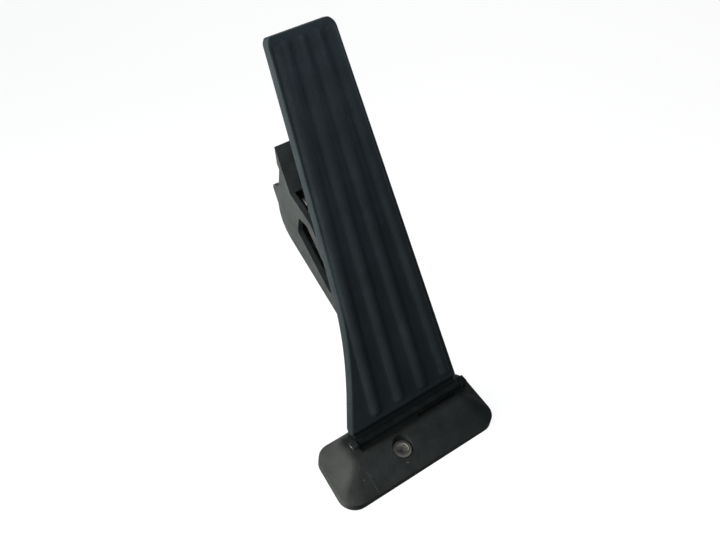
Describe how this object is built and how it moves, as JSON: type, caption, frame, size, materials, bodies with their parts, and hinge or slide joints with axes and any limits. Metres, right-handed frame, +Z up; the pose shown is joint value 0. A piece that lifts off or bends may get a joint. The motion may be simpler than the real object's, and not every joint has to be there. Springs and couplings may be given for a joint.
{
  "type": "accelerator pedal sensor",
  "caption": "Floor hinged accelerator pedal: tapered ribbed plate on a moulded foot, spring loaded lever and a magnetic angle sensor with a plug socket.",
  "frame": {"origin": "axis of the fixing sleeve's bore at the floor plane", "axes": "+X to the right along the hinge, +Y back under the pedal, +Z up from the floor"},
  "size_m": [0.1027, 0.1468, 0.1785],
  "materials": {
    "carrier_plastic": "satin moulded glass filled nylon, black",
    "plate_plastic": "fine grained moulded polypropylene, black",
    "sleeve_steel": "cut and zinc plated steel tube",
    "pin_steel": "ground steel pin",
    "slide_acetal": "natural acetal, polished running face",
    "lever_plastic": "glass filled nylon, dark grey",
    "bush_acetal": "natural acetal bearing grade",
    "spring_steel": "cold coiled spring wire",
    "bumper_rubber": "moulded rubber",
    "magnet_ferrite": "sintered ferrite, ground face",
    "board_laminate": "glass epoxy laminate with solder mask",
    "package_epoxy": "moulded epoxy package",
    "capacitor_ceramic": "fired ceramic block",
    "seal_rubber": "silicone rubber",
    "cover_plastic": "moulded polyester, black",
    "terminal_brass": "stamped brass, tin flashed",
    "screw_steel": "zinc plated thread forming screw"
  },
  "bodies": {
    "base": {"base_carrier": "carrier_plastic", "compression_sleeve": "sleeve_steel", "hinge_pin": "pin_steel", "bush_left": "bush_acetal", "bush_right": "bush_acetal", "return_spring_left": "spring_steel", "return_spring_right": "spring_steel", "end_stop_bumper": "bumper_rubber", "sensor_board": "board_laminate", "hall_sensors": "package_epoxy", "board_capacitors": "capacitor_ceramic", "cover_seal": "seal_rubber", "sensor_cover": "cover_plastic", "terminal_pins": "terminal_brass", "cover_screws": "screw_steel"},
    "pedal": {"pedal_plate": "plate_plastic", "slide_pad": "slide_acetal"},
    "lever": {"lever_arm": "lever_plastic", "nose_cap": "slide_acetal", "lever_shaft": "pin_steel", "magnet_holder": "lever_plastic", "sensor_magnet": "magnet_ferrite"}
  },
  "joints": [
    {"name": "pedal_hinge", "type": "hinge", "parent": "base", "child": "pedal", "pos_m": [0.014, 0.0129, 0.0133], "axis": [-1, 0, 0], "range_deg": [0, 14], "stiffness_Nm_per_rad": 6, "springref_deg": -24.98},
    {"name": "lever_pivot", "type": "hinge", "parent": "base", "child": "lever", "pos_m": [0.0215, 0.1175, 0.074], "axis": [1, 0, 0], "range_deg": [0, 22.86], "deforming": ["return_spring_left", "return_spring_right"]}
  ],
  "couplings": [
    {"joint": "lever_pivot", "follows": "pedal_hinge", "ratio": 1.6325}
  ]
}
